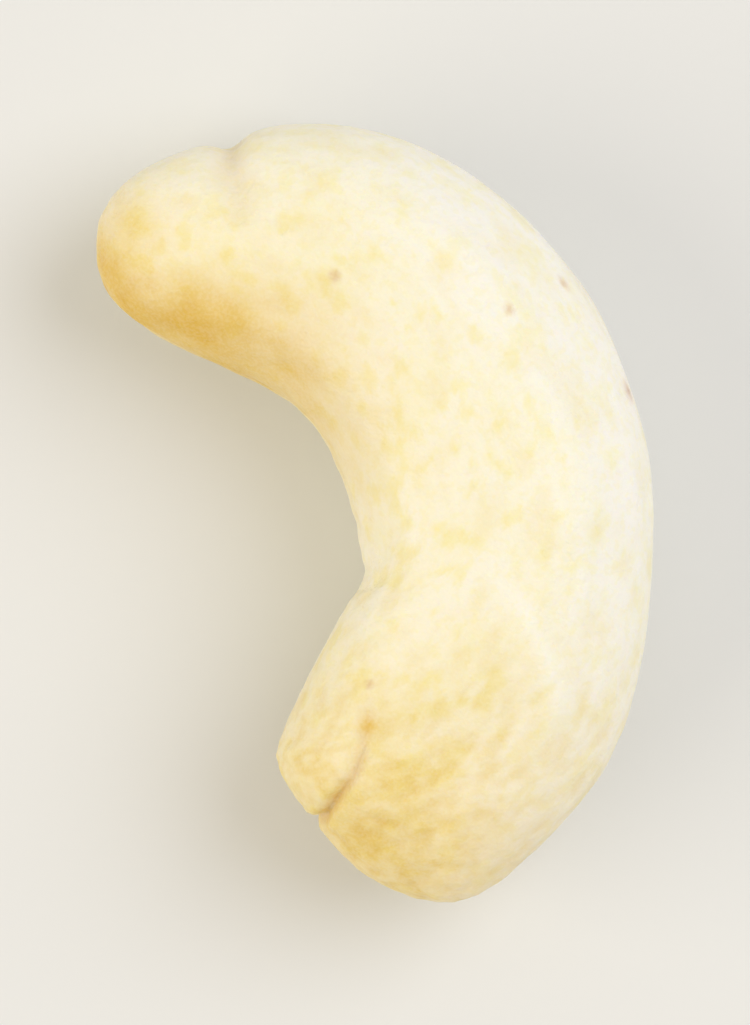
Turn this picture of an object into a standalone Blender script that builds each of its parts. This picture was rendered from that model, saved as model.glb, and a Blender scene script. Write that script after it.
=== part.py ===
"""One whole cashew kernel, peeled, lying on its side on a small flat spot.

Metres, +Z up. The two cotyledons meet at a seam that runs round the kernel at about half its height.
+Y points to the narrow head, -Y to the broad tail, and the hollow of the curve faces -X.
"""

import math

import bmesh
import bpy
import numpy as np
from mathutils import Vector, noise

# Cross-sections from head to tail: a point of the outer edge, the point of the inner edge
# across from it, and how far the upper and lower cotyledons stand out from the seam.
HEAD_TIP = (-0.0081, 0.0129)
SECTIONS = [
    ((-0.0063, 0.0147), (-0.0082, 0.0105), 0.0026, 0.0026),
    ((-0.0022, 0.0150), (-0.0062, 0.0077), 0.0040, 0.0043),
    ((0.0025, 0.0136), (-0.0037, 0.0051), 0.0049, 0.0053),
    ((0.0064, 0.0098), (-0.0027, 0.0021), 0.0055, 0.0055),
    ((0.0085, 0.0044), (-0.0029, -0.0013), 0.0057, 0.0055),
    ((0.0085, -0.0017), (-0.0040, -0.0030), 0.0058, 0.0055),
    ((0.0064, -0.0074), (-0.0061, -0.0047), 0.0057, 0.0055),
    ((0.0031, -0.0120), (-0.0082, -0.0067), 0.0052, 0.0052),
    ((-0.0012, -0.0144), (-0.0086, -0.0093), 0.0041, 0.0041),
]
TAIL_TIP = (-0.0056, -0.0145)
SEAM_HEIGHT = 0.00546  # of the seam over the surface that the kernel lies on

# How full the cross-section is: 2 is an ellipse, and more is squarer
OUTER_FULLNESS = 2.15
HEAD_INNER_FULLNESS = 2.1
TAIL_INNER_FULLNESS = 2.9

# The mesh, and how much closer its vertices stand at the seam and its rings at the two tips
VERTICES_AROUND = 64
RINGS = 76
SEAM_CROWDING = 0.5
TIP_CROWDING = 0.55

# The seam, and the waves that it makes up and down
SEAM_DEPTH = 0.00032
SEAM_WIDTH = 0.00035
SEAM_WANDER = 0.00025
SEAM_WAVELENGTH = 0.0264
SEAM_PHASE = 0.6

# Folds from the edge inwards. A path is the fold's way over the upper cotyledon, seen from above, and
# the depth is that at its start. On the lower cotyledon the fold leans towards the head, and fades
# over its drop. Halfway up and halfway down the kernel's side it stands off its path by its bow.
FOLD_FADE = 0.7
FOLD_LEAN = 0.15
FOLD_BOW_HEIGHT = 0.0046
ROOT_FOLD = {
    "path": [
        (-0.0093, -0.0103),
        (-0.0080, -0.0099),
        (-0.0064, -0.0092),
        (-0.0057, -0.0085),
        (-0.0051, -0.0075),
        (-0.0045, -0.0064),
    ],
    "depth": 0.00050,
    "half_width": 0.00031,
    "drop": 0.0034,
    "bow": (0.0, 0.00036),
}
HEAD_DENT = {
    "path": [(-0.0012, 0.0175), (-0.0021, 0.0141), (-0.0026, 0.0114)],
    "depth": 0.00075,
    "half_width": 0.00070,
    "drop": 0.0040,
    "bow": (0.00024, 0.0),
}
INNER_CORNER = {
    "path": [(-0.0040, -0.0018), (-0.0031, -0.0024), (-0.0020, -0.0032)],
    "depth": 0.00020,
    "half_width": 0.00055,
    "drop": 0.0060,
    "bow": (0.0, 0.0),
}

# Broad swellings and flats, and the share of them that is left at the seam
SWELL_HEIGHT = 0.00022
SWELL_AT_SEAM = 0.35
SWELL_LENGTH = 0.0055
SWELL_SEED = Vector((3.1, 7.7, 1.9))

CREAM = (0.93, 0.83, 0.60, 1.0)


def clear_scene():
    for obj in list(bpy.data.objects):
        bpy.data.objects.remove(obj)


def closed_curve(points):
    """A smooth closed curve, as a function of a parameter that is 0, 1, 2 and so on at the points."""
    points = np.array(points, float)
    count = len(points)
    diagonal = np.eye(count)
    system = 4 * diagonal + np.roll(diagonal, 1, axis=0) + np.roll(diagonal, -1, axis=0)
    chords = np.roll(points, -1, axis=0) - np.roll(points, 1, axis=0)
    slopes = np.linalg.solve(system, 3 * chords)

    def at(parameter):
        whole = np.floor(parameter)
        after = (parameter - whole)[:, None]
        before = 1 - after
        start = whole.astype(int) % count
        end = (start + 1) % count
        ends = points[start] * before**2 * (1 + 2 * after) + points[end] * after**2 * (1 + 2 * before)
        return ends + slopes[start] * after * before**2 - slopes[end] * after**2 * before

    return at


def kernel_rim():
    """The seam's curve, out along the outer edge and back along the inner one. Its third value is
    the height of the upper cotyledon on the way out, and minus that of the lower one on the way back."""
    out = [(*outer, above) for outer, inner, above, below in SECTIONS]
    back = [(*inner, -below) for outer, inner, above, below in reversed(SECTIONS)]
    return closed_curve([(*HEAD_TIP, 0), *out, (*TAIL_TIP, 0), *back])


def section_shape(along, around):
    """How far across and up the points of a cross-section are, from -1 to 1."""
    inner_fullness = HEAD_INNER_FULLNESS + (TAIL_INNER_FULLNESS - HEAD_INNER_FULLNESS) * along
    inward = (1 - np.cos(around)) / 2
    fullness = OUTER_FULLNESS + (inner_fullness - OUTER_FULLNESS) * inward
    reach = (np.abs(np.cos(around)) ** fullness + np.abs(np.sin(around)) ** fullness) ** (-1 / fullness)
    return reach * np.cos(around), reach * np.sin(around)


def smooth_body(along, around):
    """Points of the kernel without its relief. along is 0 at the head tip and 1 at the tail tip,
    and around is 0 at the outer edge and pi at the inner one."""
    rim = kernel_rim()
    parameter = along * (len(SECTIONS) + 1)
    outer = rim(parameter)
    inner = rim(-parameter)
    across, upward = section_shape(along, around)
    plan = (outer + inner)[:, :2] / 2 + (outer - inner)[:, :2] / 2 * across[:, None]
    height = np.where(upward > 0, outer[:, 2], -inner[:, 2]) * upward
    return np.column_stack([plan, height])


def distance_to_path(points, path):
    """How far each point is from a path seen from above, and its place along the path, from 0 to 1."""
    nearest = np.full(len(points), np.inf)
    reached = np.zeros(len(points))
    stretches = len(path) - 1
    for number, (start, end) in enumerate(zip(path[:-1], path[1:])):
        start = np.array(start)
        step = np.array(end) - start
        share = np.clip((points[:, :2] - start) @ step / (step @ step), 0, 1)
        apart = np.linalg.norm(points[:, :2] - start - share[:, None] * step, axis=1)
        closer = apart < nearest
        nearest[closer] = apart[closer]
        reached[closer] = (number + share[closer]) / stretches
    return nearest, reached


def seam_groove(points):
    """The groove where the two cotyledons meet."""
    wander = SEAM_WANDER * np.sin(2 * math.pi * points[:, 1] / SEAM_WAVELENGTH + SEAM_PHASE)
    return -SEAM_DEPTH * np.exp(-np.abs(points[:, 2] - wander) / SEAM_WIDTH)


def fold(points, path, depth, half_width, drop, bow):
    """A fold that is deepest at the edge of the kernel and fades along its path."""
    below = np.minimum(points[:, 2], 0)
    bowed = np.sin(math.pi * np.minimum(np.abs(points[:, 2]) / FOLD_BOW_HEIGHT, 1))
    moved = points[:, :2] + np.outer(below, [0, FOLD_LEAN]) + np.outer(bowed, bow)
    apart, reached = distance_to_path(moved, path)
    return -depth * np.exp(below / drop) * (1 - reached) ** FOLD_FADE * np.exp(-((apart / half_width) ** 2))


def swells(points, around):
    """Broad swellings and flats, which leave the outline seen from above nearly as it is."""
    heights = np.array([noise.noise(Vector(point) / SWELL_LENGTH + SWELL_SEED) for point in points])
    share = SWELL_AT_SEAM + (1 - SWELL_AT_SEAM) * np.abs(np.sin(around))
    return SWELL_HEIGHT * share * heights


def relief(points, around):
    """How far the surface stands out from the smooth body."""
    folds = fold(points, **ROOT_FOLD) + fold(points, **HEAD_DENT) + fold(points, **INNER_CORNER)
    return seam_groove(points) + folds + swells(points, around)


def place_vertices(mesh, places):
    for vertex, place in zip(mesh.verts, places):
        vertex.co = place


def cut_flat_spot(mesh):
    """Cuts off what reaches below the surface that the kernel lies on, and closes the cut."""
    everything = mesh.verts[:] + mesh.edges[:] + mesh.faces[:]
    surface = {"plane_co": (0, 0, 0), "plane_no": (0, 0, -1)}
    cut = bmesh.ops.bisect_plane(mesh, geom=everything, clear_outer=True, **surface)
    rim = [element for element in cut["geom_cut"] if isinstance(element, bmesh.types.BMEdge)]
    bmesh.ops.edgeloop_fill(mesh, edges=rim)


def kernel_mesh():
    """A sphere whose poles become the two tips, drawn out along the kernel's curve."""
    mesh = bmesh.new()
    bmesh.ops.create_uvsphere(mesh, u_segments=VERTICES_AROUND, v_segments=RINGS, radius=1)
    sphere = np.array([vertex.co for vertex in mesh.verts])
    along = np.arccos(np.clip(sphere[:, 2], -1, 1)) / math.pi
    along -= TIP_CROWDING * np.sin(2 * math.pi * along) / (2 * math.pi)
    around = np.arctan2(sphere[:, 1], sphere[:, 0])
    around -= SEAM_CROWDING * np.sin(2 * around) / 2
    points = smooth_body(along, around)
    place_vertices(mesh, points)
    bmesh.ops.recalc_face_normals(mesh, faces=mesh.faces)
    mesh.normal_update()
    normals = np.array([vertex.normal for vertex in mesh.verts])
    points += normals * relief(points, around)[:, None]
    points[:, 2] += SEAM_HEIGHT
    place_vertices(mesh, points)
    cut_flat_spot(mesh)
    finished = bpy.data.meshes.new("kernel")
    mesh.to_mesh(finished)
    mesh.free()
    finished.shade_smooth()
    return finished


def kernel_material():
    material = bpy.data.materials.new("peeled_kernel")
    material.use_nodes = True
    shader = material.node_tree.nodes["Principled BSDF"]
    shader.inputs["Base Color"].default_value = CREAM
    shader.inputs["Roughness"].default_value = 0.5
    shader.inputs["Metallic"].default_value = 0.0
    return material


def main():
    clear_scene()
    collection = bpy.data.collections.new("Cashew nut")
    bpy.context.scene.collection.children.link(collection)
    kernel = bpy.data.objects.new("kernel", kernel_mesh())
    kernel.data.materials.append(kernel_material())
    collection.objects.link(kernel)


main()
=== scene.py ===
"""One whole peeled cashew kernel on a pale floor, seen from straight above in soft daylight."""
import math

import bmesh
import bpy
import numpy as np
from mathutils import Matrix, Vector, noise


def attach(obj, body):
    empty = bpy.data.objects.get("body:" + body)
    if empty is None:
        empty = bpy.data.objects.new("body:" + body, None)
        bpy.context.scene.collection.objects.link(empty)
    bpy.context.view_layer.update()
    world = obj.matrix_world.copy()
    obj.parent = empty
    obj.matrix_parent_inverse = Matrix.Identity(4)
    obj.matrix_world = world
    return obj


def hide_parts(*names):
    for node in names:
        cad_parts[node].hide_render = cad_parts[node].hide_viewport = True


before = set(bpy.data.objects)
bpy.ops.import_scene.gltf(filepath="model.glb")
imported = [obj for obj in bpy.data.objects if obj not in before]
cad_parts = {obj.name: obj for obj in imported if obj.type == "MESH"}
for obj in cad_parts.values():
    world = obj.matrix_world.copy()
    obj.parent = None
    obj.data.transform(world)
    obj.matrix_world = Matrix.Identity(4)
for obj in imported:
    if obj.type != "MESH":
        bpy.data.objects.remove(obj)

# The kernel's form in metres, as its solid has it: +Y is towards the head, and the hollow of the
# curve faces -X. Each section is a point of the outer edge, the point of the inner edge across
# from it, and how far the upper and lower cotyledons stand out from the seam.
HEAD_TIP = (-0.0081, 0.0129)
SECTIONS = [
    ((-0.0063, 0.0147), (-0.0082, 0.0105), 0.0026, 0.0026),
    ((-0.0022, 0.0150), (-0.0062, 0.0077), 0.0040, 0.0043),
    ((0.0025, 0.0136), (-0.0037, 0.0051), 0.0049, 0.0053),
    ((0.0064, 0.0098), (-0.0027, 0.0021), 0.0055, 0.0055),
    ((0.0085, 0.0044), (-0.0029, -0.0013), 0.0057, 0.0055),
    ((0.0085, -0.0017), (-0.0040, -0.0030), 0.0058, 0.0055),
    ((0.0064, -0.0074), (-0.0061, -0.0047), 0.0057, 0.0055),
    ((0.0031, -0.0120), (-0.0082, -0.0067), 0.0052, 0.0052),
    ((-0.0012, -0.0144), (-0.0086, -0.0093), 0.0041, 0.0041),
]
TAIL_TIP = (-0.0056, -0.0145)
SEAM_HEIGHT = 0.00546  # of the seam over the surface that the kernel lies on

# How full the cross-section is: 2 is an ellipse, and more is squarer
OUTER_FULLNESS = 2.15
HEAD_INNER_FULLNESS = 2.1
TAIL_INNER_FULLNESS = 2.9

# The seam, with the crack at its bottom that the solid leaves out
SEAM_DEPTH = 0.00032
SEAM_WIDTH = 0.00035
SEAM_WANDER = 0.00025
SEAM_WAVELENGTH = 0.0264
SEAM_PHASE = 0.6
CRACK_DEPTH = 0.00014
CRACK_WIDTH = 0.00007

# How far the crack is open: the usual share, and how far and at what length it swings along the seam
CRACK_OPEN = 0.6
CRACK_SWING = 1.6
CRACK_SWING_LENGTH = 0.0028
CRACK_SEED = Vector((2.7, 0.9, 5.5))

# Folds from the edge inwards, seen from above, with the depth at their start, and how far they
# reach down over the lower cotyledon, where they lean towards the head. Halfway up and halfway down
# the kernel's side a fold stands off its path by its bow. The root fold is sharper than the solid's.
FOLD_FADE = 0.7
FOLD_LEAN = 0.15
FOLD_BOW_HEIGHT = 0.0046
ROOT_FOLD = {
    "path": [
        (-0.0093, -0.0103),
        (-0.0080, -0.0099),
        (-0.0064, -0.0092),
        (-0.0057, -0.0085),
        (-0.0051, -0.0075),
        (-0.0045, -0.0064),
    ],
    "depth": 0.00050,
    "half_width": 0.00024,
    "drop": 0.0034,
    "bow": (0.0, 0.00036),
}
HEAD_DENT = {
    "path": [(-0.0012, 0.0175), (-0.0021, 0.0141), (-0.0026, 0.0114)],
    "depth": 0.00075,
    "half_width": 0.00070,
    "drop": 0.0040,
    "bow": (0.00024, 0.0),
}
INNER_CORNER = {
    "path": [(-0.0040, -0.0018), (-0.0031, -0.0024), (-0.0020, -0.0032)],
    "depth": 0.00020,
    "half_width": 0.00055,
    "drop": 0.0060,
    "bow": (0.0, 0.0),
}

# Broad swellings and flats, and the share of them that is left at the seam
SWELL_HEIGHT = 0.00022
SWELL_AT_SEAM = 0.35
SWELL_LENGTH = 0.0055
SWELL_SEED = Vector((3.1, 7.7, 1.9))

# The fine mesh, and how much closer its vertices stand at the seam and its rings at the two tips
VERTICES_AROUND = 288
RINGS = 326
SEAM_CROWDING = 0.5
TIP_CROWDING = 0.55

# Fine relief: its height, and its length along, across and up the straightened kernel
KERNEL_LENGTH = 0.036  # along the middle of the curve
WAVES = {"height": 0.00009, "lengths": (0.0042, 0.0024, 0.0024), "seed": Vector((7.4, 2.8, 0.3))}
RIPPLES = {"height": 0.00004, "lengths": (0.0065, 0.0010, 0.0010), "seed": Vector((0.4, 5.2, 8.8))}
DIMPLES = {"height": 0.00004, "lengths": (0.0011, 0.0009, 0.0009), "seed": Vector((6.3, 1.7, 2.2))}
PEBBLES = {"height": 0.00007, "lengths": (0.0007, 0.0006, 0.0006), "seed": Vector((4.0, 8.1, 6.9))}
PUCKERS = {"height": 0.00008, "lengths": (0.0009, 0.0045, 0.0045), "seed": Vector((9.1, 3.3, 4.6))}

# Where the pebbles come in, and which part of the inner wall is puckered. Both are shares of the way
# from the head tip to the tail tip, and the power narrows the puckers towards the inner edge.
PEBBLES_START = 0.74
PEBBLES_SOFTNESS = 0.06
PUCKERS_MIDDLE = 0.5
PUCKERS_REACH = 0.22
PUCKERS_POWER = 1.5

# The faint ridge over the top of the tail, and the fine crack inside the root fold
RIDGE_PATH = [
    (0.0009, -0.0027),
    (0.0018, -0.0049),
    (0.0021, -0.0071),
    (0.0021, -0.0090),
    (0.0010, -0.0105),
]
RIDGE_HEIGHT = 0.00011
RIDGE_HALF_WIDTH = 0.00045
ROOT_CRACK = {**ROOT_FOLD, "depth": 0.00010, "half_width": 0.00009, "drop": 0.0012}

# Marks in the skin: where they are seen from above, and their radius
SPECKS = [
    ((-0.0002, 0.0085), 0.00028),
    ((0.0077, 0.0053), 0.00034),
    ((0.0055, 0.0050), 0.00027),
    ((-0.0044, -0.0061), 0.00022),
    ((-0.0083, 0.0112), 0.00026),
]
SPECK_DEPTH = 0.00002
MOLE = ((-0.0051, -0.0075), 0.00036)
MOLE_HEIGHT = 0.00004
SKIN_REST = ((0.00852, 0.0007), 0.00034)
YELLOW_PATCHES = [
    ((-0.0046, -0.0101), 0.0008),
    ((-0.0068, -0.0114), 0.0014),
    ((-0.0064, 0.0131), 0.0008),
    ((-0.0078, 0.0116), 0.0010),
    ((-0.0057, 0.0091), 0.0011),
    ((-0.0043, 0.0083), 0.0010),
]

# Painted shade on the end of the head, which turns away from the key lamp: its middle, how far it reaches and
# how much of it is painted shade
HEAD_END_SHADE = (-0.0088, 0.0115, 0.0009)
HEAD_END_SHADE_REACH = 0.0030
HEAD_END_SHADE_SHARE = 0.95

# Where the colours lie. Inward goes from 0 at the outer edge to 1 at the inner one, and along from 0
# at the head tip to 1 at the tail tip. Each pair says where a colour begins and where it is full.
# The outer values place the outer side's paler tone and its painted highlight
OUTER_HIGHLIGHT_INWARD = (0.55, 0.10)
# The inner, flank and upper values place the gold painted shade of the inner flank, which turns away from the
# key lamp
INNER_SHADE_INWARD = (0.46, 0.98)
HEAD_ALONG = (0.40, 0.20)
SHADED_FLANK_ALONG = (0.54, 0.20)
TAIL_ALONG = (0.63, 0.83)
TAIL_TIP_REACH = 0.18
UPPER_HEIGHTS = (-0.0015, 0.0010)

# The share of the inner flank's painted shade that is left past the flank and on the lower cotyledon, and how
# much less of the mottles and of the tail's colour is left on the outer side, where its highlight is painted
SHADED_FLANK_LEAST = 0.04
LOWER_LEAST = 0.5
OUTER_FEWER_MOTTLES = 0.45
OUTER_LESS_TAIL = 0.6

# The depths at which the painted shade in the pits and folds is full, and the widths of the seam's colours:
# its painted shade and stain, and the skin in its crack
PIT_SHADE_FULL = 0.00003
ROOT_FOLD_SHADE_FULL = 0.00030
HEAD_DENT_SHADE_FULL = 0.00090
SEAM_SHADE_AND_STAIN_WIDTH = 0.00032
CRACK_STAIN_WIDTH = 0.00012

# The material's noise, in millimetres, and its bumps, in metres
FLECK_LENGTH = 0.34
MEAL_LENGTH = 0.13
UNEVEN_LENGTH = 0.40
UNEVEN_DETAIL = 2.0
FIBRE_LENGTHS = (1.6, 0.20, 0.20)
UNEVEN_HEIGHT = 0.00007
FIBRE_HEIGHT = 0.000012
MEAL_HEIGHT = 0.00002

# The material's steps. Each goes from its third value to its fourth as what it follows goes from
# its first to its second.
FLECK_STEP = (0.50, 0.66, 0.0, 0.35)
MEAL_STEP = (0.35, 0.70, 0.0, 0.10)
RAGGED_STEP = (0.3, 0.7, 0.80, 1.0)
SPECK_STEP = (0.10, 0.95, 0.0, 0.42)
ROUGHNESS_STEP = (0.3, 0.7, 0.44, 0.56)

# The photograph shows the kernel turned by this much from its own frame
TURN = math.radians(21)
CAMERA_DISTANCE = 0.5
SENSOR = 36.0
SHARE_OF_HEIGHT = 0.76  # that the kernel takes of the picture

# Lamps. Each shines from a direction that is given along the picture's right and upper edges and
# towards the camera.
LAMP_DISTANCE = 0.6
LAMPS = {
    "key": {"towards": (0.68, 0.28, 1.0), "size": 0.50, "power": 1.60, "colour": (0.97, 0.98, 1.0)},
    "bounce": {"towards": (-0.9, -0.25, 0.60), "size": 0.60, "power": 1.50, "colour": (1.0, 0.92, 0.76)},
}
DAYLIGHT = (1.0, 0.93, 0.82, 1.0)
DAYLIGHT_STRENGTH = 0.59
FLOOR_SIZE = 1.2


def srgb(red, green, blue):
    """A colour as it looks on a screen, 0 to 255, as the linear colour that shaders take."""
    linear = [((value / 255 + 0.055) / 1.055) ** 2.4 for value in (red, green, blue)]
    return (*linear, 1.0)


PALE = srgb(247, 243, 226)
CREAM = srgb(246, 241, 217)
# Gold for the painted shade of the inner flank and of the end of the head
SHADE_GOLD = srgb(226, 189, 68)
YELLOW = srgb(236, 204, 100)
MOTTLE_TINT = srgb(253, 250, 222)
# Painted shade in the dimples
PIT_SHADE_TINT = srgb(250, 244, 222)
TAIL_TINT = srgb(248, 240, 210)
PATCH_YELLOW = srgb(249, 240, 190)
# A near white for the mealy grain, and for the painted highlights of the outer side and of the ridge
WHITE_MEAL_AND_HIGHLIGHT = srgb(251, 249, 243)
# Ochre for the seam, partly painted shade in its groove and partly skin left in it, and for the painted shade
# in the folds
OCHRE = srgb(216, 172, 102)
MOLE_YELLOW = srgb(228, 192, 76)
SPECK_BROWN = srgb(204, 150, 58)
SKIN_BROWN = srgb(168, 84, 44)
FLOOR = srgb(230, 232, 234)

# What the shaders are set to: a dull and waxy surface that light passes a little way into, and a
# floor with no shine
KERNEL_SHADER = {
    "Metallic": 0.0,
    "Specular IOR Level": 0.4,
    "Subsurface Weight": 0.4,
    "Subsurface Radius": (1.0, 0.85, 0.40),
    "Subsurface Scale": 0.002,
}
FLOOR_SHADER = {"Base Color": FLOOR, "Roughness": 0.8, "Specular IOR Level": 0.0}

# Layers of colour, in the order that they go on: where each lies, its colour, whether that tints or
# covers what is below it, and its amount. A layer with a length comes in round spots of about that
# length, and one with lengths in spots that follow the kernel's curve, with their length along,
# across and up it. The noise, from -0.5 to 0.5, starts the spots at the first threshold and fills
# them at the second, and between the spots a least share is left.
LAYERS = [
    {
        "area": "all",
        "cover": CREAM,
        "amount": 1.0,
        "lengths": (0.006, 0.006, 0.006),
        "thresholds": (-0.30, 0.30),
    },
    # Painted highlight: the outer side, which faces the key lamp, whitened, together with the paler tone of
    # the outer back
    {"area": "outer_pale_and_highlight", "cover": WHITE_MEAL_AND_HIGHLIGHT, "amount": 0.95},
    # Painted shade: gold over the inner flank and the end of the head, which turn away from the key lamp,
    # deepening the kernel's own yellow there
    {
        "area": "inner_flank_shade",
        "cover": SHADE_GOLD,
        "amount": 0.96,
        "lengths": (0.0030, 0.0022, 0.0022),
        "thresholds": (-0.25, 0.20),
        "least": 0.78,
    },
    {"area": "head", "tint": PATCH_YELLOW, "amount": 0.28},
    {"area": "tail_tip", "cover": YELLOW, "amount": 0.46},
    {
        "area": "mottled",
        "tint": MOTTLE_TINT,
        "amount": 0.95,
        "length": 0.0010,
        "thresholds": (0.07, 0.29),
    },
    {
        "area": "mottled",
        "tint": MOTTLE_TINT,
        "amount": 0.24,
        "lengths": (0.0026, 0.0022, 0.0022),
        "thresholds": (-0.14, 0.24),
    },
    {
        "area": "all",
        "tint": MOTTLE_TINT,
        "amount": 0.25,
        "lengths": (0.005, 0.0005, 0.0005),
        "thresholds": (0.0, 0.36),
    },
    # Painted shade: the dimples darkened by their depth
    {"area": "pits", "tint": PIT_SHADE_TINT, "amount": 0.55},
    {
        "area": "tail",
        "tint": TAIL_TINT,
        "amount": 1.0,
        "lengths": (0.0008, 0.0007, 0.0007),
        "thresholds": (-0.14, 0.20),
        "least": 0.42,
    },
    # Painted highlight: the crest of the ridge over the tail whitened
    {"area": "ridge", "cover": WHITE_MEAL_AND_HIGHLIGHT, "amount": 0.70},
    {"area": "patches", "tint": PATCH_YELLOW, "amount": 0.90},
    # The seam in ochre patches: partly painted shade in its groove and partly skin left in it
    {
        "area": "seam",
        "cover": OCHRE,
        "amount": 0.70,
        "lengths": (0.0018, 0.0016, 0.0016),
        "thresholds": (-0.28, 0.28),
        "least": 0.15,
    },
    # Painted shade: the root fold and the dent at the head darkened with ochre by their depth
    {"area": "crease_shade", "cover": OCHRE, "amount": 0.26},
    {
        "area": "crack",
        "cover": SKIN_BROWN,
        "amount": 0.60,
        "lengths": (0.0009, 0.0008, 0.0008),
        "thresholds": (0.14, 0.34),
    },
    {"area": "skin_rest", "cover": SKIN_BROWN, "amount": 0.50},
    {"area": "mole", "cover": MOLE_YELLOW, "amount": 0.95},
]
LAYER_SEED_STEP = Vector((3.7, 1.9, 5.3))

# The layers' noise, each octave of which is half as long and half as high as the one before
OCTAVES = 3
OCTAVE_FADE = 1.0
OCTAVE_SHRINK = 2.0
OCTAVES_HEIGHT = sum(OCTAVE_SHRINK ** (-OCTAVE_FADE * octave) for octave in range(OCTAVES))


def closed_curve(points):
    """A smooth closed curve, as a function of a parameter that is 0, 1, 2 and so on at the points."""
    points = np.array(points, float)
    count = len(points)
    diagonal = np.eye(count)
    system = 4 * diagonal + np.roll(diagonal, 1, axis=0) + np.roll(diagonal, -1, axis=0)
    chords = np.roll(points, -1, axis=0) - np.roll(points, 1, axis=0)
    slopes = np.linalg.solve(system, 3 * chords)

    def at(parameter):
        whole = np.floor(parameter)
        after = (parameter - whole)[:, None]
        before = 1 - after
        start = whole.astype(int) % count
        end = (start + 1) % count
        ends = points[start] * before**2 * (1 + 2 * after) + points[end] * after**2 * (1 + 2 * before)
        return ends + slopes[start] * after * before**2 - slopes[end] * after**2 * before

    return at


def kernel_rim():
    """The seam's curve, out along the outer edge and back along the inner one. Its third value is
    the height of the upper cotyledon on the way out, and minus that of the lower one on the way back."""
    out = [(*outer, above) for outer, inner, above, below in SECTIONS]
    back = [(*inner, -below) for outer, inner, above, below in reversed(SECTIONS)]
    return closed_curve([(*HEAD_TIP, 0), *out, (*TAIL_TIP, 0), *back])


def section_shape(along, around):
    """How far across and up the points of a cross-section are, from -1 to 1."""
    inner_fullness = HEAD_INNER_FULLNESS + (TAIL_INNER_FULLNESS - HEAD_INNER_FULLNESS) * along
    inward = (1 - np.cos(around)) / 2
    fullness = OUTER_FULLNESS + (inner_fullness - OUTER_FULLNESS) * inward
    reach = (np.abs(np.cos(around)) ** fullness + np.abs(np.sin(around)) ** fullness) ** (-1 / fullness)
    return reach * np.cos(around), reach * np.sin(around)


def smooth_body(along, around):
    """Points of the kernel without its relief, and the same points with the kernel's curve pulled
    straight. along is 0 at the head tip and 1 at the tail tip, and around is 0 at the outer edge
    and pi at the inner one."""
    rim = kernel_rim()
    parameter = along * (len(SECTIONS) + 1)
    outer = rim(parameter)
    inner = rim(-parameter)
    across, upward = section_shape(along, around)
    reach = (outer - inner)[:, :2] / 2
    plan = (outer + inner)[:, :2] / 2 + reach * across[:, None]
    height = np.where(upward > 0, outer[:, 2], -inner[:, 2]) * upward
    straight = np.column_stack([along * KERNEL_LENGTH, np.linalg.norm(reach, axis=1) * across, height])
    return np.column_stack([plan, height]), straight


def bell(values, reach):
    """1 where the values are 0, and close to 0 where they are well past the reach."""
    return np.exp(-((values / reach) ** 2))


def smooth_step(values, low, high):
    """Goes smoothly from 0 to 1 as the values go from low to high."""
    share = np.clip((values - low) / (high - low), 0, 1)
    return share * share * (3 - 2 * share)


def with_least(share, least):
    """The share, raised so that the least is left where it was 0."""
    return least + (1 - least) * share


def distance_to_path(points, path):
    """How far each point is from a path seen from above, and its place along the path, from 0 to 1."""
    nearest = np.full(len(points), np.inf)
    reached = np.zeros(len(points))
    stretches = len(path) - 1
    for number, (start, end) in enumerate(zip(path[:-1], path[1:])):
        start = np.array(start)
        step = np.array(end) - start
        share = np.clip((points[:, :2] - start) @ step / (step @ step), 0, 1)
        apart = np.linalg.norm(points[:, :2] - start - share[:, None] * step, axis=1)
        closer = apart < nearest
        nearest[closer] = apart[closer]
        reached[closer] = (number + share[closer]) / stretches
    return nearest, reached


def noise_at(places, seed):
    return np.array([noise.noise(Vector(place) + seed) for place in places.tolist()])


def fractal_noise_at(places, seed):
    """Noise with finer and fainter noise added to it, from about -0.5 to 0.5."""
    octaves = (OCTAVE_FADE, OCTAVE_SHRINK, OCTAVES)
    values = [noise.fractal(Vector(place) + seed, *octaves) for place in places.tolist()]
    return np.array(values) / OCTAVES_HEIGHT


def from_seam(points):
    """How far above or below the seam each point is."""
    wander = SEAM_WANDER * np.sin(2 * math.pi * points[:, 1] / SEAM_WAVELENGTH + SEAM_PHASE)
    return np.abs(points[:, 2] - wander)


def fold(points, path, depth, half_width, drop, bow):
    """A fold that is deepest at the edge of the kernel and fades along its path."""
    below = np.minimum(points[:, 2], 0)
    bowed = np.sin(math.pi * np.minimum(np.abs(points[:, 2]) / FOLD_BOW_HEIGHT, 1))
    moved = points[:, :2] + np.outer(below, [0, FOLD_LEAN]) + np.outer(bowed, bow)
    apart, reached = distance_to_path(moved, path)
    return -depth * np.exp(below / drop) * (1 - reached) ** FOLD_FADE * bell(apart, half_width)


def folds(points):
    return fold(points, **ROOT_FOLD) + fold(points, **HEAD_DENT) + fold(points, **INNER_CORNER)


def swells(points, around):
    """Broad swellings and flats, which leave the outline seen from above nearly as it is."""
    share = with_least(np.abs(np.sin(around)), SWELL_AT_SEAM)
    return SWELL_HEIGHT * share * noise_at(points / SWELL_LENGTH, SWELL_SEED)


def seam(points):
    """The groove between the cotyledons, and the crack at its bottom, which closes here and there."""
    apart = from_seam(points)
    groove = SEAM_DEPTH * np.exp(-apart / SEAM_WIDTH)
    swing = CRACK_SWING * noise_at(points / CRACK_SWING_LENGTH, CRACK_SEED)
    opened = np.clip(CRACK_OPEN + swing, 0, 1)
    return -groove - opened * CRACK_DEPTH * bell(apart, CRACK_WIDTH)


def bumps(straight, height, lengths, seed):
    return height * noise_at(straight / np.array(lengths), seed)


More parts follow.
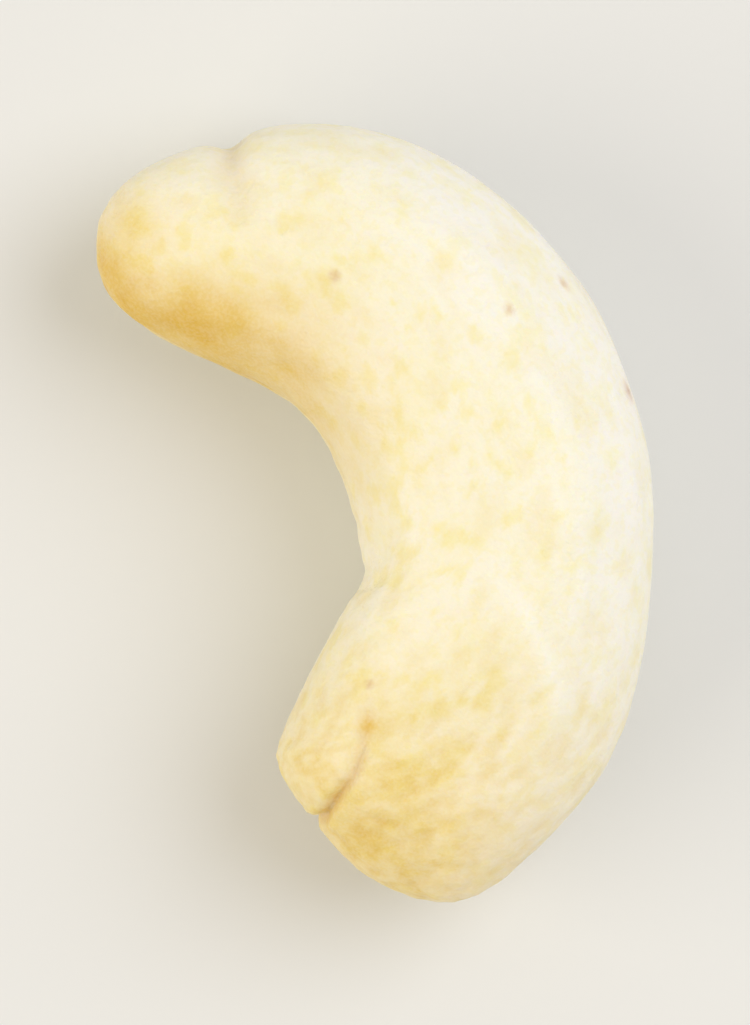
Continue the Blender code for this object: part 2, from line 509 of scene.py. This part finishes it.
def spots(points, places):
    """1 in the middle of each spot of the upper side, whose place is seen from above, and 0 outside them."""
    covered = np.zeros(len(points))
    for place, radius in places:
        aside = np.linalg.norm(points[:, :2] - place, axis=1)
        centre = points[np.argmin(np.where(points[:, 2] > 0, aside, np.inf))]
        apart = np.linalg.norm(points - centre, axis=1)
        covered = np.maximum(covered, bell(apart, radius))
    return covered


def ridge(points):
    """The faint ridge over the top of the tail, 1 at its middle."""
    apart, reached = distance_to_path(points, RIDGE_PATH)
    return (points[:, 2] > 0) * np.sin(math.pi * reached) * bell(apart, RIDGE_HALF_WIDTH)


def pitting(straight):
    """The dimples all over, and the coarser and deeper ones of the broad tail."""
    along = straight[:, 0] / KERNEL_LENGTH
    tail = 1 / (1 + np.exp(-(along - PEBBLES_START) / PEBBLES_SOFTNESS))
    return bumps(straight, **DIMPLES) + tail * bumps(straight, **PEBBLES)


def fine_relief(points, straight, along, around):
    """What is too fine for the solid, apart from the pitting."""
    inner_wall = np.clip(-np.cos(around), 0, 1) ** PUCKERS_POWER * bell(along - PUCKERS_MIDDLE, PUCKERS_REACH)
    return (
        bumps(straight, **WAVES)
        + bumps(straight, **RIPPLES)
        + inner_wall * bumps(straight, **PUCKERS)
        + RIDGE_HEIGHT * ridge(points)
        + fold(points, **ROOT_CRACK)
        - SPECK_DEPTH * spots(points, SPECKS)
        + MOLE_HEIGHT * spots(points, [MOLE])
    )


def colour_areas(points, along, around, pits):
    """Where the layers of colour lie, from 0 to 1."""
    inward = (1 - np.cos(around)) / 2
    # The outer side's paler tone and painted highlight, which also thin out the mottles and the tail's colour
    # there
    outer_pale_and_highlight = smooth_step(inward, *OUTER_HIGHLIGHT_INWARD)
    # Painted shade of the inner flank, strongest towards the head and on the upper cotyledon, and of the
    # head's end
    shaded_flank = with_least(smooth_step(along, *SHADED_FLANK_ALONG), SHADED_FLANK_LEAST)
    upper = with_least(smooth_step(points[:, 2], *UPPER_HEIGHTS), LOWER_LEAST)
    head_end_shade = HEAD_END_SHADE_SHARE * bell(np.linalg.norm(points - HEAD_END_SHADE, axis=1), HEAD_END_SHADE_REACH)
    root_fold = fold(points, **ROOT_FOLD) / ROOT_FOLD_SHADE_FULL
    head_dent = fold(points, **HEAD_DENT) / HEAD_DENT_SHADE_FULL
    return {
        "all": np.ones(len(points)),
        "outer_pale_and_highlight": outer_pale_and_highlight,
        "inner_flank_shade": np.maximum(shaded_flank * upper * smooth_step(inward, *INNER_SHADE_INWARD), head_end_shade),
        "mottled": 1 - OUTER_FEWER_MOTTLES * outer_pale_and_highlight,
        "head": smooth_step(along, *HEAD_ALONG),
        "tail_tip": bell(1 - along, TAIL_TIP_REACH),
        "tail": smooth_step(along, *TAIL_ALONG) * (1 - OUTER_LESS_TAIL * outer_pale_and_highlight),
        # Painted shade in the dimples, by their depth
        "pits": np.clip(-pits / PIT_SHADE_FULL, 0, 1),
        # The ridge, whose crest gets a painted highlight
        "ridge": ridge(points),
        "patches": spots(points, YELLOW_PATCHES),
        # The seam's colour, partly painted shade in its groove and partly skin left in it
        "seam": np.exp(-from_seam(points) / SEAM_SHADE_AND_STAIN_WIDTH),
        # Painted shade in the root fold and the head's dent, by their depth
        "crease_shade": np.clip(-root_fold - head_dent, 0, 1),
        "crack": bell(from_seam(points), CRACK_STAIN_WIDTH),
        "skin_rest": spots(points, [SKIN_REST]),
        "mole": spots(points, [MOLE]),
    }


def layer_spots(layer, seed, points, straight):
    """How much of a layer is left at each point, in its spots and between them."""
    if "lengths" in layer:
        places = straight / np.array(layer["lengths"])
    else:
        places = points / layer["length"]
    spotted = smooth_step(fractal_noise_at(places, seed), *layer["thresholds"])
    return with_least(spotted, layer.get("least", 0))


def paint(areas, points, straight):
    """The colour of each vertex, built up layer by layer."""
    colours = np.tile(PALE, (len(points), 1))
    for number, layer in enumerate(LAYERS):
        share = areas[layer["area"]] * layer["amount"]
        if "thresholds" in layer:
            share = share * layer_spots(layer, LAYER_SEED_STEP * number, points, straight)
        share = np.clip(share, 0, 1)[:, None]
        if "cover" in layer:
            over = np.array(layer["cover"])
        else:
            over = colours * np.array(layer["tint"])
        colours = colours * (1 - share) + over * share
    return colours


def place_vertices(mesh, places):
    for vertex, place in zip(mesh.verts, places):
        vertex.co = place


def write_attribute(mesh, name, kind, key, values):
    attribute = mesh.attributes.new(name, kind, "POINT")
    attribute.data.foreach_set(key, values.astype(np.float32).ravel())


def kernel_places(sphere):
    """How far along and around the kernel each point of a sphere comes to lie, the head at its top."""
    along = np.arccos(np.clip(sphere[:, 2], -1, 1)) / math.pi
    along -= TIP_CROWDING * np.sin(2 * math.pi * along) / (2 * math.pi)
    around = np.arctan2(sphere[:, 1], sphere[:, 0])
    around -= SEAM_CROWDING * np.sin(2 * around) / 2
    return along, around


def make_kernel():
    """A sphere that is drawn out along the kernel's curve, with its colour as an attribute."""
    shaped = bmesh.new()
    bmesh.ops.create_uvsphere(shaped, u_segments=VERTICES_AROUND, v_segments=RINGS, radius=1)
    along, around = kernel_places(np.array([vertex.co for vertex in shaped.verts]))
    body, straight = smooth_body(along, around)
    place_vertices(shaped, body)
    bmesh.ops.recalc_face_normals(shaped, faces=shaped.faces)
    shaped.normal_update()
    normals = np.array([vertex.normal for vertex in shaped.verts])
    pits = pitting(straight)
    form = seam(body) + folds(body) + swells(body, around)
    points = body + normals * (form + pits + fine_relief(body, straight, along, around))[:, None]
    points[:, 2] = np.maximum(points[:, 2] + SEAM_HEIGHT, 0)
    place_vertices(shaped, points)
    mesh = bpy.data.meshes.new("kernel_skin")
    shaped.to_mesh(mesh)
    shaped.free()
    mesh.shade_smooth()
    colours = paint(colour_areas(body, along, around, pits), body, straight)
    write_attribute(mesh, "paint", "FLOAT_COLOR", "color", colours)
    write_attribute(mesh, "specks", "FLOAT", "value", spots(body, SPECKS))
    write_attribute(mesh, "straight", "FLOAT_VECTOR", "vector", straight)
    kernel = bpy.data.objects.new("kernel_skin", mesh)
    bpy.context.scene.collection.objects.link(kernel)
    return kernel


class Nodes:
    """Adds nodes to a new material and links them. Lengths are in millimetres."""

    def __init__(self, name, shader_values):
        self.material = bpy.data.materials.new(name)
        self.material.use_nodes = True
        self.tree = self.material.node_tree
        self.shader = self.tree.nodes["Principled BSDF"]
        for socket, value in shader_values.items():
            self.shader.inputs[socket].default_value = value

    def add(self, kind, **settings):
        node = self.tree.nodes.new(kind)
        for name, value in settings.items():
            setattr(node, name, value)
        return node

    def link(self, source, socket):
        """Links an output to a socket, or sets the socket if a plain value is given."""
        if isinstance(source, bpy.types.NodeSocket):
            self.tree.links.new(source, socket)
        else:
            socket.default_value = source

    def attribute(self, name, output="Fac"):
        return self.add("ShaderNodeAttribute", attribute_name=name).outputs[output]

    def millimetres(self, vector):
        scale = self.add("ShaderNodeVectorMath", operation="SCALE")
        self.link(vector, scale.inputs[0])
        scale.inputs["Scale"].default_value = 1000
        return scale.outputs[0]

    def stretched(self, vector, lengths):
        divide = self.add("ShaderNodeVectorMath", operation="DIVIDE")
        self.link(vector, divide.inputs[0])
        divide.inputs[1].default_value = lengths
        return divide.outputs[0]

    def noise(self, vector, length, detail=1.0):
        texture = self.add("ShaderNodeTexNoise")
        self.link(vector, texture.inputs["Vector"])
        texture.inputs["Scale"].default_value = 1 / length
        texture.inputs["Detail"].default_value = detail
        return texture.outputs["Fac"]

    def product(self, first, second):
        node = self.add("ShaderNodeMath", operation="MULTIPLY")
        self.link(first, node.inputs[0])
        self.link(second, node.inputs[1])
        return node.outputs[0]

    def step(self, value, low, high, out_low, out_high):
        """Goes smoothly from out_low to out_high as value goes from low to high."""
        node = self.add("ShaderNodeMapRange", interpolation_type="SMOOTHSTEP")
        self.link(value, node.inputs["Value"])
        node.inputs["From Min"].default_value = low
        node.inputs["From Max"].default_value = high
        node.inputs["To Min"].default_value = out_low
        node.inputs["To Max"].default_value = out_high
        return node.outputs["Result"]

    def mix(self, share, first, second, blend="MIX"):
        node = self.add("ShaderNodeMix", data_type="RGBA", blend_type=blend)
        self.link(share, node.inputs["Factor"])
        self.link(first, node.inputs["A"])
        self.link(second, node.inputs["B"])
        return node.outputs["Result"]

    def bump(self, height, distance, normal=None):
        node = self.add("ShaderNodeBump")
        self.link(height, node.inputs["Height"])
        node.inputs["Distance"].default_value = distance
        if normal is not None:
            self.link(normal, node.inputs["Normal"])
        return node.outputs["Normal"]


def kernel_material():
    """The painted colours with flecks, a fine mealy grain and specks, on an uneven and fibrous surface."""
    nodes = Nodes("peeled_kernel", KERNEL_SHADER)
    place = nodes.millimetres(nodes.add("ShaderNodeTexCoord").outputs["Object"])
    straight = nodes.millimetres(nodes.attribute("straight", "Vector"))

    flecks = nodes.step(nodes.noise(place, FLECK_LENGTH), *FLECK_STEP)
    colour = nodes.mix(flecks, nodes.attribute("paint", "Color"), MOTTLE_TINT, "MULTIPLY")
    mealy = nodes.noise(place, MEAL_LENGTH)
    colour = nodes.mix(nodes.step(mealy, *MEAL_STEP), colour, WHITE_MEAL_AND_HIGHLIGHT)
    ragged = nodes.step(mealy, *RAGGED_STEP)
    speck = nodes.step(nodes.product(nodes.attribute("specks"), ragged), *SPECK_STEP)
    colour = nodes.mix(speck, colour, SPECK_BROWN)
    nodes.link(colour, nodes.shader.inputs["Base Color"])

    uneven = nodes.noise(place, UNEVEN_LENGTH, UNEVEN_DETAIL)
    nodes.link(nodes.step(uneven, *ROUGHNESS_STEP), nodes.shader.inputs["Roughness"])
    fibrous = nodes.noise(nodes.stretched(straight, FIBRE_LENGTHS), 1.0)
    normal = nodes.bump(uneven, UNEVEN_HEIGHT)
    normal = nodes.bump(fibrous, FIBRE_HEIGHT, normal)
    normal = nodes.bump(mealy, MEAL_HEIGHT, normal)
    nodes.link(normal, nodes.shader.inputs["Normal"])
    return nodes.material


def make_floor():
    bpy.ops.mesh.primitive_plane_add(size=FLOOR_SIZE)
    floor = bpy.context.object
    floor.name = "floor"
    floor.data.materials.append(Nodes("pale_floor", FLOOR_SHADER).material)


def image_direction(right, up, height):
    """A direction that is given along the picture's right and upper edges, as one of the kernel's frame."""
    x = right * math.cos(TURN) + up * math.sin(TURN)
    y = up * math.cos(TURN) - right * math.sin(TURN)
    return Vector((x, y, height)).normalized()


def make_lamp(name, towards, size, power, colour):
    direction = image_direction(*towards)
    light = bpy.data.lights.new(name, "AREA")
    light.shape = "DISK"
    light.size = size
    light.energy = power
    light.color = colour
    lamp = bpy.data.objects.new(name, light)
    lamp.location = direction * LAMP_DISTANCE
    lamp.rotation_euler = direction.to_track_quat("Z", "Y").to_euler()
    bpy.context.scene.collection.objects.link(lamp)


def light_scene():
    for name, lamp in LAMPS.items():
        make_lamp(name, **lamp)
    world = bpy.data.worlds.new("daylight")
    world.use_nodes = True
    background = world.node_tree.nodes["Background"]
    background.inputs["Color"].default_value = DAYLIGHT
    background.inputs["Strength"].default_value = DAYLIGHT_STRENGTH
    bpy.context.scene.world = world
    bpy.context.scene.view_settings.view_transform = "Standard"


def make_camera(kernel):
    """Looks straight down, turned as the photograph is, with the kernel in the middle of the picture."""
    right = np.array([math.cos(TURN), -math.sin(TURN)])
    up = np.array([math.sin(TURN), math.cos(TURN)])
    plan = np.array([vertex.co[:2] for vertex in kernel.data.vertices])
    across, upward = plan @ right, plan @ up
    centre = right * (across.min() + across.max()) / 2 + up * (upward.min() + upward.max()) / 2
    camera = bpy.data.cameras.new("camera")
    camera.sensor_width = SENSOR
    picture_height = np.ptp(upward) / SHARE_OF_HEIGHT
    camera.lens = SENSOR * (CAMERA_DISTANCE - SEAM_HEIGHT) / picture_height
    viewer = bpy.data.objects.new("camera", camera)
    viewer.location = (*centre, CAMERA_DISTANCE)
    viewer.rotation_euler = (0, 0, -TURN)
    bpy.context.scene.collection.objects.link(viewer)
    bpy.context.scene.camera = viewer


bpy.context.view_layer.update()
kernel = make_kernel()
kernel.data.materials.append(kernel_material())
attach(kernel, "root")
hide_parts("kernel")
make_floor()
light_scene()
make_camera(kernel)
